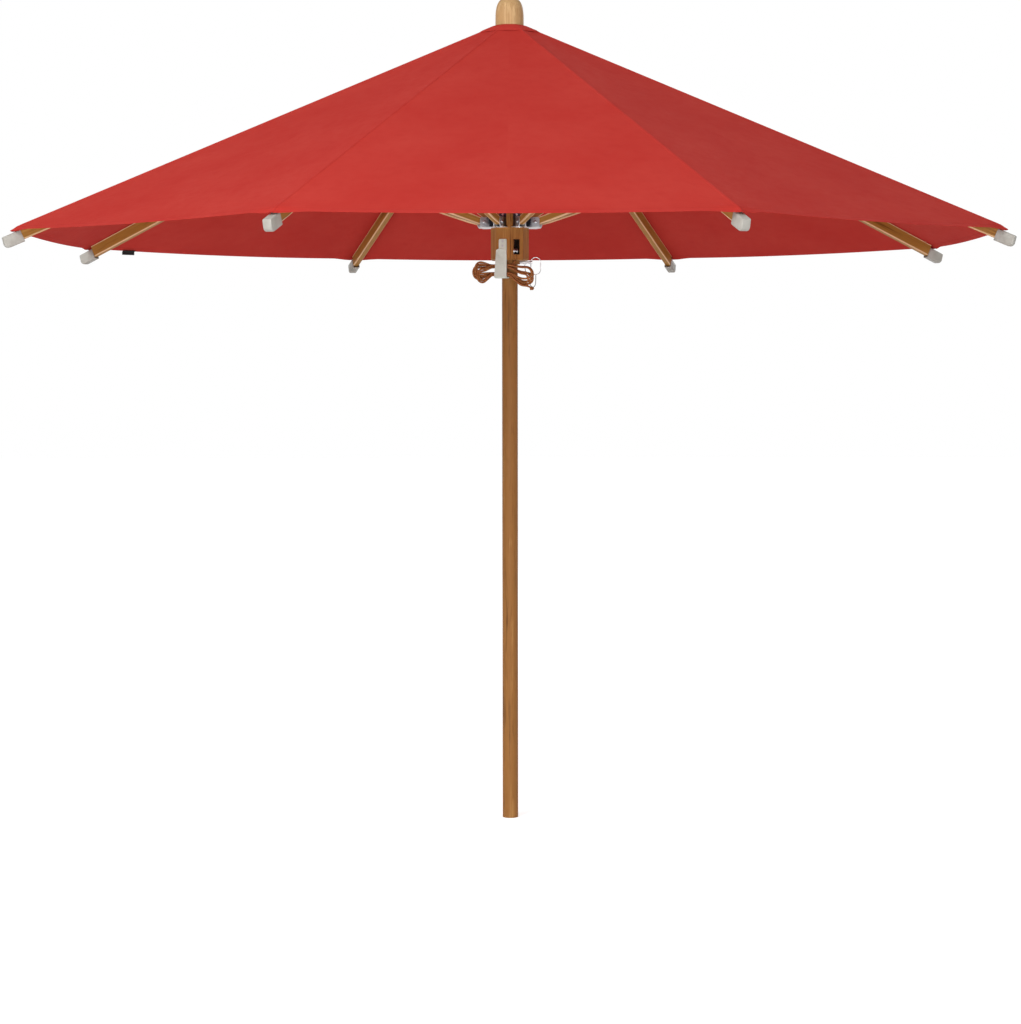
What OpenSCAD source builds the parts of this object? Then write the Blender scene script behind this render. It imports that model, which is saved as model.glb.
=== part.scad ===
// Patio umbrella with a wooden pole and frame, raised by a rope over pulleys.
// Millimetres, +Z up. The origin is the centre of the pole's foot, cut flat.
// Seen from the front (-Y), arm 1 points front-left, and the arms are counted
// towards the right. In an arm's own frame +X points outwards and +Z up.

/* [Pole] */
// Diameter of the pole
pole_d = 55; // [48:1:60]
// Length of the foot that goes into a base
foot_len = 300; // [200:10:400]
// Width of the ring that marks how deep the foot goes in
mark_w = 2; // [1.5:0.5:4]
// Depth of that ring
mark_t = 0.6; // [0.4:0.1:1.5]

/* [Canopy] */
// Distance from the pole to a corner of the canopy
canopy_r = 1730; // [1500:10:1900]
// Slope of the canopy along its ribs, in degrees
canopy_slope = 23.56; // [22:0.01:25]
// Height at which the ribs' ridges would meet
apex_z = 2787; // [2600:1:3000]
// Thickness of the cloth as a solid
cloth_t = 2; // [1:0.5:3]
// Radius of the flat patch that the finial clamps
clamp_r = 50; // [44:1:54]
// Radius of the hole that the finial's spigot goes through
cloth_hole_r = 12; // [11:0.5:16]

/* [Ribs] */
// Width of a rib
rib_w = 24; // [20:1:28]
// Depth of a rib
rib_h = 44; // [38:1:50]
// Length over which a rib tapers towards its pivot
rib_taper = 150; // [80:10:250]
// Chamfer along the lower edges of a rib
rib_chamfer = 4; // [2:0.5:6]
// How far a rib's tip reaches past the canopy's corner, measured level
rib_over = 17; // [5:1:30]
// Length of the tenon that the end cap goes over
tenon_len = 56; // [48:1:70]

/* [Rib caps] */
// Width of a cap
cap_w = 28; // [27:0.5:34]
// How far a cap reaches past the rib's tip
cap_over = 9; // [6:1:14]
// How far a cap reaches below the rib's centre line
cap_low = 29; // [26:1:34]
// How far a cap's top lies under the rib's top, clear of the cloth's corner
cap_drop = 11.5; // [8:0.5:13]
// Rounding of a cap's edges
cap_round = 5; // [3:0.5:6]
// Depth of the step in the rib that the cap's wall fills
cap_step = 2.5; // [2:0.25:4]

/* [Struts] */
// Width of a strut
strut_w = 20; // [16:1:24]
// Depth of a strut
strut_h = 28; // [24:1:32]
// Length over which a strut tapers towards a pivot
strut_taper = 50; // [30:5:90]
// How steeply the open struts rise from the runner
strut_rise = 18; // [16:0.5:20]
// Distance along the rib from the crown pivot to the strut's pivot
strut_on_rib = 870; // [850:1:890]
// Chamfer along a strut's edges
strut_chamfer = 3; // [1:0.5:5]

/* [Brackets and pivots] */
// Thickness of the bracket sheet
sheet_t = 2.5; // [2:0.25:3]
// Diameter of the pivot bolts
bolt_d = 6; // [5:0.5:8]
// Diameter of a bolt's domed head
bolt_head_d = 12; // [11:0.5:14]
// Height of a bolt's domed head
bolt_head_h = 3.5; // [2.5:0.25:5]
// Diameter of the wood screws
screw_d = 4; // [3:0.5:5]
// Length of the wood screws
screw_len = 22; // [16:1:26]
// Reach of a runner bracket's pivot from the block
runner_reach = 39; // [34:1:44]
// Width of the turned-out foot of a runner bracket
foot_w = 6; // [3:0.5:8]

/* [Crown] */
// Size of the crown and runner blocks across flats
block_af = 122; // [116:1:130]
// Height of the crown block
crown_h = 110; // [100:1:130]
// Radius of the crown's round top
crown_top_r = 45; // [38:1:45]
// Chamfer along the blocks' edges
block_chamfer = 4; // [1:0.5:6]

/* [Finial] */
// Diameter of the finial
finial_d = 98; // [80:1:99]
// Height of the finial
finial_h = 100; // [70:1:130]
// Diameter of the finial's spigot
spigot_d = 20; // [14:1:21]
// Length of the finial's spigot
spigot_len = 46; // [30:1:60]

/* [Runner] */
// Height of the runner block
runner_h = 165; // [160:1:180]
// Distance from the strut pivots down to the block's underside
runner_below = 132; // [128:1:136]
// Clearance between the runner and the pole, all round
runner_clear = 0.4; // [0.3:0.05:0.8]
// Wall of the round neck under the runner block
neck_wall = 8; // [6:0.5:9]
// Height of that neck
neck_h = 12; // [11:0.5:13]

/* [Rope and pulleys] */
// Diameter of the rope
rope_d = 7; // [5:0.5:7]
// Gap between the pole and the rope beside it
rope_gap = 1; // [0.5:0.25:2]
// Diameter of the top pulley's axle
top_axle_d = 8; // [6:0.5:10]
// Radius of the runner pulley at the rope's centre line
small_pitch_r = 10.5; // [9.5:0.5:11]
// Diameter of the runner pulley's axle
small_axle_d = 5; // [4:0.5:6]
// Width of the runner pulley
small_wheel_w = 17; // [14:0.5:18]
// Width of the window that the runner pulley sits in
window_w = 23; // [21:0.5:25]
// Height of that window
window_h = 52; // [46:1:56]
// Height of the window's foot above the block's underside
window_z = 20; // [18:1:22]
// Angle by which the runner pulley turns the rope outwards
rope_turn = 25; // [20:1:27]

/* [Rope hook] */
// Width of the hook's neck
hook_neck_w = 29; // [26:1:34]
// Height of the hook's top above the block's underside
hook_top = 73; // [68:1:75]
// Height of the step between neck and tongue
hook_step = 40; // [34:1:46]
// How far the hook reaches below the block
hook_low = 62; // [60:1:66]
// Width of the tongue at its foot
hook_foot_w = 46; // [40:1:50]
// Thickness of the hook's tongue
hook_t = 5.5; // [4:0.5:7]

/* [Locking pin] */
// Diameter of the locking pin
pin_d = 8; // [6:0.5:9]
// Distance from the pole's axis to the pin's tip, drawn back
pin_tip = 28.2; // [28:0.1:30.5]
// Length of the pin's shank
pin_len = 40; // [36:1:50]
// Wire of the pin's ring
ring_wire = 3; // [2:0.25:3]
// Width of the ring, between wire centres
ring_w = 34; // [28:1:38]
// Height of the ring, between wire centres
ring_h = 60; // [50:1:70]

/* [Hidden] */
$fn = 48;
ARMS = [1:8];

// Clearances
soft_gap = 0.3;          // cloth to what it lies on
fit_gap = 0.1;           // between a glued or pressed piece and its seat
turn_gap = 0.05;         // a pivot in its bore, all round
side_gap = 0.4;          // wood to the ear beside it
head_gap = 0.2;          // an ear to the bolt head beside it
fold_gap = 1.5;          // a folded strut to the bracket plate above it
crown_gap = 4.5;         // a rib's end to the crown bracket's plate
far = 200;               // longer than any cut has to be

wood = [0.60, 0.41, 0.22];
pale_wood = [0.80, 0.67, 0.45];
steel = [0.75, 0.76, 0.78];
cloth = [0.75, 0.22, 0.19];
pale_grey = [0.84, 0.83, 0.80];
rope_colour = [0.56, 0.33, 0.17];

// The canopy and the crown
cloth_v = cloth_t / cos(canopy_slope);
edge_z = ridge_z(canopy_r);
flat_z = ridge_z(clamp_r);
crown_top = flat_z - cloth_v - soft_gap;
shoulder_z = crown_top - 13;
crown_foot = shoulder_z - crown_h;
flat_r = block_af / 2;

// The chamfers run out where a rib or a strut has tapered to its pivot
rib_end_h = rib_h - 2 * rib_chamfer;
strut_end_h = strut_h - 2 * strut_chamfer;

// The pivots at rest
rib_drop = (cloth_t + soft_gap + rib_h / 2) / cos(canopy_slope);
crown_r = flat_r + sheet_t + rib_end_h / 2 + crown_gap;
crown_z = ridge_z(crown_r) - rib_drop;
strut_drop = rib_h / 2 + sheet_t + fold_gap + strut_h / 2;
joint_r = crown_r + strut_on_rib * cos(canopy_slope) - strut_drop * sin(canopy_slope);
joint_z = crown_z - strut_on_rib * sin(canopy_slope) - strut_drop * cos(canopy_slope);
runner_r = flat_r + runner_reach;
runner_z = joint_z - (joint_r - runner_r) * tan(strut_rise);
strut_len = (joint_r - runner_r) / cos(strut_rise);
rib_len = (canopy_r + rib_over - crown_r) / cos(canopy_slope);
ridge_fall = tan(22.5) * sin(canopy_slope);

// The runner
runner_foot = runner_z - runner_below;
runner_top = runner_foot + runner_h;
neck_r = pole_d / 2 + neck_wall;
pin_z = runner_foot - neck_h / 2;

// The rope
strand_r = pole_d / 2 + rope_gap + rope_d / 2;
groove_r = rope_d / 2 + 0.3;
big_wheel_r = strand_r + rope_d / 2;
big_wheel_w = rope_d + 3;
pole_slot_w = big_wheel_w + 1;
big_wheel_z = crown_foot - big_wheel_r - 6;
small_r = strand_r + small_pitch_r;
small_wheel_r = small_pitch_r + 1;
small_z = runner_foot + window_z + small_wheel_r + 1;
turn_r = small_r - small_pitch_r * cos(rope_turn);
turn_z = small_z - small_pitch_r * sin(rope_turn);
exit_len = (turn_z - runner_foot) / cos(rope_turn);
exit_r = turn_r + exit_len * sin(rope_turn);
knot_z = runner_top - 60;
rope_arm = 2;
hoist_route = concat(
    [[-strand_r, 0, knot_z]],
    [for (a = [180 : -10 : 0])
        [strand_r * cos(a), 0, big_wheel_z + strand_r * sin(a)]],
    [for (a = [180, 180 + rope_turn / 2, 180 + rope_turn])
        [small_r + small_pitch_r * cos(a), 0, small_z + small_pitch_r * sin(a)]],
    [[exit_r, 0, runner_foot]]
);
axle_out = 41;           // the runner pulley's axle from the window's middle
axle_in = 22;

// The rope's free end runs from the runner's underside into the hank, and out
// of it again to its knot. Both are chosen by hand.
tail_start = [
    [(exit_r + 0.5) * sin(22.5), -(exit_r + 0.5) * cos(22.5), runner_foot - 1],
    [17, -46, 1950], [16, -50, 1944]
];
tail_end = [[75, -71, 1871], [76, -71, 1866]];
knot_h = 13;
knot_r = 7;
// The hank's middle line from left to right, with its top and bottom there
hank_route = [
    [-125, -85, 1939, 1896], [-120, -82, 1946, 1887], [-111, -75, 1948, 1884],
    [-96, -63.5, 1947, 1889], [-76, -46.8, 1945, 1898], [-67, -38.6, 1944, 1902],
    [-61.5, -34.6, 1944, 1903], [-55.8, -32.4, 1944, 1903], [-49, -32.4, 1944, 1903],
    [-43, -34, 1944, 1903], [-37, -36.4, 1944, 1903], [-19, -45, 1944, 1903],
    [-5, -51, 1943, 1902], [20, -58, 1941, 1893], [50, -65, 1936, 1882],
    [66, -69, 1932, 1875], [76, -71, 1929, 1872], [82, -72, 1921, 1880]
];
hank_t = 3 * rope_d + 0.4;
// The lanyard from its screw eye down and up to the pin's ring
lanyard_d = 2.5;
eye_x = 52;
eye_y = 22;
lanyard_route = [
    [52, 22, 1943], [53, 20, 1930], [58, 16, 1908], [66, 10, 1884],
    [73, 6, 1870], [80, 3, 1864], [86, 1, 1867], [90, 0, 1878], [90.5, 0, 1892],
    [90.5, 0, 1907]
];

function ridge_z(r) = apex_z - r * tan(canopy_slope);

// ---- frames and shared shapes ----

// An arm's own frame, turned to where the arm points
module arm(i) {
    rotate([0, 0, i * 45 - 157.5]) children();
}

// Along a rib from its crown pivot
module rib_frame() {
    translate([crown_r, 0, crown_z]) rotate([0, canopy_slope, 0]) children();
}

// Along a strut from its runner pivot
module strut_frame() {
    translate([runner_r, 0, runner_z]) rotate([0, -strut_rise, 0]) children();
}

// An outline in the X-Z plane, given a width along Y
module side(width) {
    rotate([90, 0, 0]) linear_extrude(width, center = true) children();
}

// An outline in the Y-Z plane, run along X
module along(length) {
    rotate([90, 0, 90]) linear_extrude(length) children();
}

// A hole or bar along Y
module cross(d, length) {
    rotate([90, 0, 0]) cylinder(d = d, h = length, center = true);
}

// The two ears of a bracket, from an outline in the X-Z plane
module ears(inner) {
    for (s = [-1, 1])
        translate([0, s * (inner + sheet_t) / 2, 0]) side(sheet_t) children();
}

// A bolt along Y with a domed head at both ends
module bolt(grip) {
    for (s = [-1, 1]) translate([0, s * (grip / 2 + head_gap), 0])
        rotate([-90 * s, 0, 0]) rotate_extrude() polygon([
            [0, 0], [bolt_head_d / 2, 0], [bolt_head_d / 2, bolt_head_h * 0.35],
            [bolt_head_d * 0.4, bolt_head_h * 0.75],
            [bolt_head_d * 0.25, bolt_head_h], [0, bolt_head_h]
        ]);
    cross(bolt_d, grip + 2 * head_gap);
}

// A countersunk screw whose flat head lies at the origin and points along +X.
// With grow it is the hole for that screw.
module screw(grow = 0) {
    rotate([0, -90, 0]) rotate_extrude() polygon([
        [0, -grow], [screw_d + grow, -grow], [screw_d + grow, 0.3],
        [screw_d / 2 + grow, sheet_t - 0.2], [screw_d / 2 + grow, screw_len - 4 + grow],
        [0, screw_len + grow]
    ]);
}

// A pulley about the Y axis, with its groove at the rope's centre line
module pulley(pitch_r, outer_r, width, bore) {
    difference() {
        cross(2 * outer_r, width);
        cross(bore, width + 2);
        rotate([90, 0, 0]) rotate_extrude() hull() for (r = [pitch_r, outer_r + groove_r])
            translate([r, 0]) circle(r = groove_r, $fn = 24);
        for (s = [-1, 1]) translate([0, s * width / 2, 0]) rotate([90, 0, 0])
            difference() {
                cylinder(r = pitch_r - groove_r - 2, h = 2, center = true);
                cylinder(d = bore + 5, h = 3, center = true);
            }
    }
}

// The eight-sided prism of a block, with flats towards the arms
module block(z, h) {
    difference() {
        translate([0, 0, z]) cylinder(r = flat_r / cos(22.5), h = h, $fn = 8);
        for (i = ARMS, top = [0, 1]) arm(i)
            translate([flat_r, 0, z + top * h]) rotate([0, 45, 0])
                cube([block_chamfer * sqrt(2), far, block_chamfer * sqrt(2)],
                     center = true);
    }
}

// ---- tubes ----

function unit(v) = v / norm(v);

// The direction of a route at its k-th point
function heading(p, k) = unit(p[min(k + 1, len(p) - 1)] - p[max(k - 1, 0)]);

// A sideways direction for each ring, carried along so that the tube never twists
function sideways(p, k) = let (h = heading(p, k))
    k == 0 ? unit(cross(h, abs(h[2]) > 0.7 ? [1, 0, 0] : [0, 0, 1]))
           : let (s = sideways(p, k - 1)) unit(s - (s * h) * h);

// A smooth route through the points: n steps from each point to the next
function smooth(p, n) = [
    for (k = [0 : len(p) - 2], j = [0 : n - 1]) between(p, k, j / n),
    p[len(p) - 1]
];
function between(p, k, t) = let (
    a = p[max(k - 1, 0)], b = p[k], c = p[k + 1], d = p[min(k + 2, len(p) - 1)]
) 0.5 * (2 * b + (c - a) * t + (2 * a - 5 * b + 4 * c - d) * t * t
         + (3 * b - a - 3 * c + d) * t * t * t);

// The closed skin over rings that all have the same number of points
module skin(rings) {
    n = len(rings[0]);
    m = len(rings);
    polyhedron(
        points = [for (r = rings) each r],
        faces = concat(
            [[for (j = [0 : n - 1]) j]],
            [for (k = [0 : m - 2], j = [0 : n - 1], half = [0, 1]) let (
                a = k * n + j, b = k * n + (j + 1) % n, c = b + n, d = a + n
            ) half == 0 ? [a, d, c] : [a, c, b]],
            [[for (j = [n - 1 : -1 : 0]) (m - 1) * n + j]]
        )
    );
}

module tube(route, d, sides = 8) {
    skin([for (k = [0 : len(route) - 1]) let (
        h = heading(route, k), s = sideways(route, k), u = cross(h, s)
    ) [for (j = [0 : sides - 1]) let (a = 360 * j / sides)
        route[k] + d / 2 * (cos(a) * s + sin(a) * u)]]);
}

// ---- pole, crown and canopy ----

module pole() color(wood) difference() {
    cylinder(d = pole_d, h = crown_top);
    translate([0, 0, foot_len]) difference() {
        cylinder(d = pole_d + 2, h = mark_w);
        translate([0, 0, -1]) cylinder(d = pole_d - 2 * mark_t, h = mark_w + 2);
    }
    // the slot and bore for the top pulley
    arm(rope_arm) translate([0, 0, big_wheel_z]) {
        cube([far, pole_slot_w, 2 * big_wheel_r + 4], center = true);
        cross(top_axle_d, far);
    }
    // the bore that the locking pin goes through when the canopy is up
    translate([0, 0, pin_z]) rotate([0, 90, 0])
        cylinder(d = pin_d + 0.4, h = far, center = true);
    translate([0, 0, crown_top - spigot_len - 2])
        cylinder(d = spigot_d + 2 * fit_gap, h = spigot_len + 3);
}

// A thimble on a spigot: its side follows (r / R)^2.4 + (z / H)^4 = 1
module finial() color(pale_wood) translate([0, 0, flat_z + soft_gap]) {
    steps = 14;
    rotate_extrude($fn = 64) polygon(concat(
        [[0, 0], [finial_d / 2 - 2, 0]],
        [for (k = [0 : steps - 1]) let (z = 0.02 + 0.98 * (1 - pow(1 - k / steps, 1.6)))
            [finial_d / 2 * pow(1 - pow(z, 4), 1 / 2.4), finial_h * z]],
        [[0, finial_h]]
    ));
    translate([0, 0, -spigot_len]) cylinder(d = spigot_d, h = spigot_len + 1);
}

module crown_block() color(wood) difference() {
    union() {
        block(crown_foot, crown_h);
        translate([0, 0, crown_foot]) cylinder(r = crown_top_r, h = crown_top - crown_foot);
    }
    translate([0, 0, crown_foot - 1]) cylinder(d = pole_d + 2 * fit_gap, h = far);
    for (i = ARMS) arm(i) crown_screw_places() screw(turn_gap);
}

module crown_screw_places() {
    for (z = [-28, 20]) translate([flat_r + sheet_t, 0, crown_z + z]) children();
}

// The ears are open at the top, where a rib's bolt leaves them as the frame folds
module crown_bracket() {
    grip = rib_w + 2 * side_gap;
    difference() {
        union() {
            translate([flat_r, -grip / 2 - sheet_t, crown_z - 36])
                cube([sheet_t, grip + 2 * sheet_t, 62]);
            ears(grip) {
                translate([flat_r, crown_z - 15]) square([crown_r - flat_r, 28]);
                translate([crown_r, crown_z - 1]) circle(r = 14);
            }
        }
        translate([crown_r, 0, crown_z]) {
            cross(bolt_d + 2 * turn_gap, far);
            for (lean = [2, 5, 8]) rotate([0, lean, 0])
                translate([-bolt_d / 2 - turn_gap, -far / 2, 0])
                    cube([bolt_d + 2 * turn_gap, far, 40]);
        }
        crown_screw_places() screw(turn_gap);
    }
}

module crown_brackets() color(steel) for (i = ARMS) arm(i) crown_bracket();

module crown_screws() color(steel)
    for (i = ARMS) arm(i) crown_screw_places() screw();

// Eight flat panels that meet in a ridge over each rib
module canopy() color(cloth) difference() {
    canopy_cone(0);
    translate([0, 0, -cloth_v]) canopy_cone(-cloth_v);
    cylinder(r = cloth_hole_r, h = 2 * apex_z, center = true);
}

module canopy_cone(low) {
    deep = low / tan(canopy_slope);
    rotate([0, 0, 22.5]) translate([0, 0, edge_z + low])
        cylinder(r1 = canopy_r - deep, r2 = clamp_r, h = flat_z - edge_z - low, $fn = 8);
}

// ---- rope and pulleys on the pole ----

module top_sheave() color(steel) arm(rope_arm) translate([0, 0, big_wheel_z])
    pulley(strand_r, big_wheel_r, big_wheel_w, top_axle_d + 2 * turn_gap);

module top_sheave_axle() color(steel) arm(rope_arm) translate([0, 0, big_wheel_z])
    cross(top_axle_d - 0.02, pole_d - 6);

// From its knot in the runner up over the top pulley, down past the runner's
// pulley and out of the runner's underside
module hoist_rope() color(rope_colour) arm(rope_arm) {
    tube(hoist_route, rope_d, 12);
    translate([-strand_r, 0, knot_z - 10]) cylinder(d = rope_d + 2, h = 12);
}

// ---- runner ----

module runner_block() color(wood) difference() {
    union() {
        block(runner_foot, runner_h);
        translate([0, 0, runner_foot - neck_h]) cylinder(r = neck_r, h = neck_h + 1);
    }
    translate([0, 0, runner_foot - neck_h - 1])
        cylinder(d = pole_d + 2 * runner_clear, h = runner_h + neck_h + 2);
    arm(rope_arm) {
        // a groove each for the two strands, the left one down to its knot
        rope_groove(small_z, 1, rope_d + 2);
        rope_groove(knot_z - 11, -1, rope_d + 3);
        translate([strand_r - rope_d / 2, -window_w / 2, runner_foot + window_z])
            cube([far, window_w, window_h]);
        translate([small_r, 0, small_z]) {
            cross(small_axle_d, 2 * axle_in);
            translate([0, axle_out / 2, 0]) cross(small_axle_d, axle_out);
        }
        // the way out for the rope, under the pulley
        translate([turn_r - rope_d, -rope_d / 2 - 1, runner_foot - 1])
            cube([exit_r - turn_r + 2 * rope_d, rope_d + 2, window_z + 4]);
    }
    translate([0, 0, pin_z]) rotate([0, 90, 0])
        cylinder(d = pin_d + 0.2, h = far, center = true);
    for (i = ARMS) arm(i) runner_screw_places() screw(turn_gap);
    arm(1) hook_screw_places() screw(turn_gap);
    translate([eye_x, eye_y, runner_foot]) cylinder(d = 3 + 2 * turn_gap, h = 13);
}

// An upright groove in the bore's wall, open at the top of the block
module rope_groove(z, s, w) {
    translate([s > 0 ? 0 : -strand_r - w / 2, -w / 2, z])
        cube([strand_r + w / 2, w, runner_top - z + 1]);
}

module runner_screw_places() {
    for (z = [-11, 25]) translate([flat_r + sheet_t, 0, runner_z + z]) children();
}

module runner_bracket() {
    grip = strut_w + 2 * side_gap;
    reach = runner_r + 16;
    difference() {
        union() {
            translate([flat_r, -grip / 2 - sheet_t, runner_z - 19])
                cube([sheet_t, grip + 2 * sheet_t, 51]);
            ears(grip) {
                translate([flat_r, runner_z - 19]) square([reach - flat_r - 9, 36]);
                translate([reach - 9, runner_z - 10]) circle(r = 9);
                translate([reach - 9, runner_z + 8]) circle(r = 9);
                translate([reach - 9, runner_z - 10]) square([9, 18]);
            }
            for (s = [-1, 1]) translate([0, s * (grip / 2 + sheet_t + foot_w / 2), 0])
                side(foot_w + 0.01) translate([flat_r, runner_z - 19])
                    square([reach - flat_r - 8, sheet_t]);
        }
        translate([runner_r, 0, runner_z]) cross(bolt_d + 2 * turn_gap, far);
        runner_screw_places() screw(turn_gap);
    }
}

module runner_brackets() color(steel) for (i = ARMS) arm(i) runner_bracket();

module runner_bolts() color(steel) for (i = ARMS) arm(i)
    translate([runner_r, 0, runner_z]) bolt(strut_w + 2 * side_gap + 2 * sheet_t);

module hook_screw_places() {
    for (z = [10, 25]) translate([flat_r + hook_t - 2, 0, runner_foot + hook_step + z])
        children();
}

// The countersunk screws of the brackets and the hook, and the lanyard's eye
module runner_fasteners() color(steel) {
    for (i = ARMS) arm(i) runner_screw_places() screw();
    arm(1) hook_screw_places() screw();
    translate([eye_x, eye_y, runner_foot - 7]) {
        rotate([90, 0, 0]) rotate_extrude() translate([5, 0]) circle(d = 2.5, $fn = 16);
        translate([0, 0, 4.5]) cylinder(d = 3, h = 14);
    }
}

module runner_sheave() color(steel) arm(rope_arm) translate([small_r, 0, small_z])
    pulley(small_pitch_r, small_wheel_r, small_wheel_w, small_axle_d + 2 * turn_gap);

module runner_sheave_axle() color(steel) arm(rope_arm)
    translate([small_r, (axle_out - axle_in) / 2, small_z])
        cross(small_axle_d - 0.02, axle_out + axle_in - 0.2);

// A flat tongue that stands in front of the hank, with a lip that carries it
module rope_hook() color(pale_grey) arm(1) translate([0, 0, runner_foot])
    difference() {
        intersection() {
            side(far) polygon([
                [flat_r, hook_top], [flat_r + hook_t - 2, hook_top],
                [flat_r + hook_t - 2, hook_step + 2], [flat_r + hook_t, hook_step - 1],
                [flat_r + hook_t, 4 - hook_low], [flat_r + hook_t - 4, -hook_low],
                [flat_r - 24, -hook_low], [flat_r - 24, 4 - hook_low],
                [flat_r, 4 - hook_low]
            ]);
            translate([flat_r - 30, 0, 0]) along(far) polygon([
                [-hook_neck_w / 2, hook_top - 3], [3 - hook_neck_w / 2, hook_top],
                [hook_neck_w / 2 - 3, hook_top], [hook_neck_w / 2, hook_top - 3],
                [hook_neck_w / 2, 4 - hook_low], [hook_neck_w / 2 - 4, -hook_low],
                [hook_neck_w / 2 - hook_foot_w + 4, -hook_low],
                [hook_neck_w / 2 - hook_foot_w, 4 - hook_low],
                [8 + hook_neck_w / 2 - hook_foot_w, hook_step - 5],
                [-hook_neck_w / 2, hook_step]
            ]);
        }
        translate([0, 0, -runner_foot]) hook_screw_places() screw(turn_gap);
    }

// Drawn back clear of the pole, with its tip in the neck's bore
module locking_pin() color(steel) translate([0, 0, pin_z]) {
    head_x = pin_tip + pin_len;
    ring_x = head_x + 5;
    low = ring_h / 2 - ring_w / 2;
    difference() {
        union() {
            translate([pin_tip + 1, 0, 0]) rotate([0, 90, 0]) cylinder(d = pin_d, h = pin_len);
            translate([pin_tip, 0, 0]) rotate([0, 90, 0])
                cylinder(d1 = pin_d - 2, d2 = pin_d, h = 1);
            translate([head_x, 0, 0]) rotate([0, 90, 0]) cylinder(d = pin_d + 3, h = 10);
        }
        translate([ring_x, 0, 0]) cylinder(d = ring_wire + 1, h = far, center = true);
    }
    translate([ring_x + ring_w / 2, 0, -12]) {
        for (s = [0, 1]) translate([0, 0, (1 - 2 * s) * low]) rotate([90, 0, 0])
            rotate([0, 0, 180 * s]) rotate_extrude(angle = 180)
                translate([ring_w / 2, 0]) circle(d = ring_wire, $fn = 16);
        for (s = [-1, 1]) translate([s * ring_w / 2, 0, 0])
            cylinder(d = ring_wire, h = 2 * low, center = true);
    }
}

// ---- the rope's free end ----

module rope_tail() color(rope_colour) {
    tube(smooth(tail_start, 3), rope_d);
    tube(tail_end, rope_d);
    translate(tail_end[1]) translate([0, 0, -knot_h]) rotate_extrude($fn = 24) polygon([
        [0, 0], [knot_r - 3, 0], [knot_r, 4], [knot_r, knot_h - 4],
        [knot_r - 3, knot_h], [0, knot_h]
    ]);
}

// The outer shape of the hank: its section is a flat bar with rounded corners
module rope_hank() color(rope_colour) skin([
    for (k = [0 : len(hank_route) - 1]) let (
        p = hank_route[k],
        flat = [for (q = hank_route) [q[0], q[1], 0]],
        h = heading(flat, k), s = [-h[1], h[0], 0] * hank_t / 2, b = rope_d / 3
    ) [for (c = [[-1, 1, 1], [-1, 1, 0], [-1, -1, 0], [-1, -1, 1],
                 [1, -1, 1], [1, -1, 0], [1, 1, 0], [1, 1, 1]]) let (
        across = c[2] == 1 ? c[0] * (1 - 2 * b / hank_t) : c[0],
        z = c[1] > 0 ? p[2] - (c[2] == 1 ? 0 : b) : p[3] + (c[2] == 1 ? 0 : b)
    ) [p[0], p[1], z] + s * across]
]);

module pin_lanyard() color(pale_grey) tube(smooth(lanyard_route, 3), lanyard_d);

// ---- arms ----

module rib(i) color(wood) arm(i) rib_frame() difference() {
    union() {
        intersection() {
            side(far) {
                circle(d = rib_end_h);
                polygon([
                    [0, rib_end_h / 2], [rib_taper, rib_h / 2],
                    [rib_len - tenon_len, rib_h / 2], [rib_len - tenon_len, -rib_h / 2],
                    [rib_taper, -rib_h / 2], [0, -rib_end_h / 2]
                ]);
            }
            translate([-rib_end_h, 0, 0]) along(rib_len + rib_end_h) polygon([
                [0, rib_h / 2], [-rib_w / 2, rib_h / 2 - ridge_fall * rib_w / 2],
                [-rib_w / 2, rib_chamfer - rib_h / 2], [rib_chamfer - rib_w / 2, -rib_h / 2],
                [rib_w / 2 - rib_chamfer, -rib_h / 2], [rib_w / 2, rib_chamfer - rib_h / 2],
                [rib_w / 2, rib_h / 2 - ridge_fall * rib_w / 2]
            ]);
        }
        tenon(0);
    }
    cross(bolt_d + 2 * turn_gap, far);
    rib_screw_places() screw(turn_gap);
}

// The step at a rib's tip that the cap goes over, or with grow the cap's pocket
module tenon(grow) {
    half = rib_w / 2 - cap_step + grow;
    translate([rib_len - tenon_len - 5, -half, cap_step - rib_h / 2 - grow])
        cube([tenon_len + 5 + grow, 2 * half, rib_h - cap_drop - 2 * cap_step + 2 * grow]);
}

module rib_cap(i) color(pale_grey) arm(i) rib_frame() difference() {
    start = rib_len - tenon_len + fit_gap + cap_round;
    tip = rib_len + cap_over - cap_round;
    top = rib_h / 2 - cap_drop - cap_round;
    low = cap_round - cap_low;
    lean = tan(canopy_slope);
    hull() for (s = [-1, 1], p = [
        [start, low + 2], [tip - 13, low], [tip - 2, low + 5], [tip + 3, low + 14],
        [tip - top * lean, top], [start, top]
    ]) translate([p[0], s * (cap_w / 2 - cap_round), p[1]])
        sphere(r = cap_round, $fn = 12);
    translate([rib_len - tenon_len - 1, -far / 2, -far / 2]) cube([1 + fit_gap, far, far]);
    tenon(fit_gap);
}

module rib_screw_places() {
    for (u = [-34, 34]) translate([strut_on_rib + u, 0, -rib_h / 2 - sheet_t])
        rotate([0, 90, 0]) children();
}

module rib_bracket(i) color(steel) arm(i) rib_frame() {
    grip = strut_w + 2 * side_gap;
    difference() {
        union() {
            translate([strut_on_rib - 43, -grip / 2 - sheet_t, -rib_h / 2 - sheet_t])
                cube([86, grip + 2 * sheet_t, sheet_t]);
            ears(grip) {
                translate([strut_on_rib - 14, -strut_drop])
                    square([28, strut_drop - rib_h / 2 - sheet_t / 2]);
                translate([strut_on_rib, -strut_drop]) circle(r = 14);
            }
        }
        translate([strut_on_rib, 0, -strut_drop]) cross(bolt_d + 2 * turn_gap, far);
        rib_screw_places() screw(turn_gap);
    }
}

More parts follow.
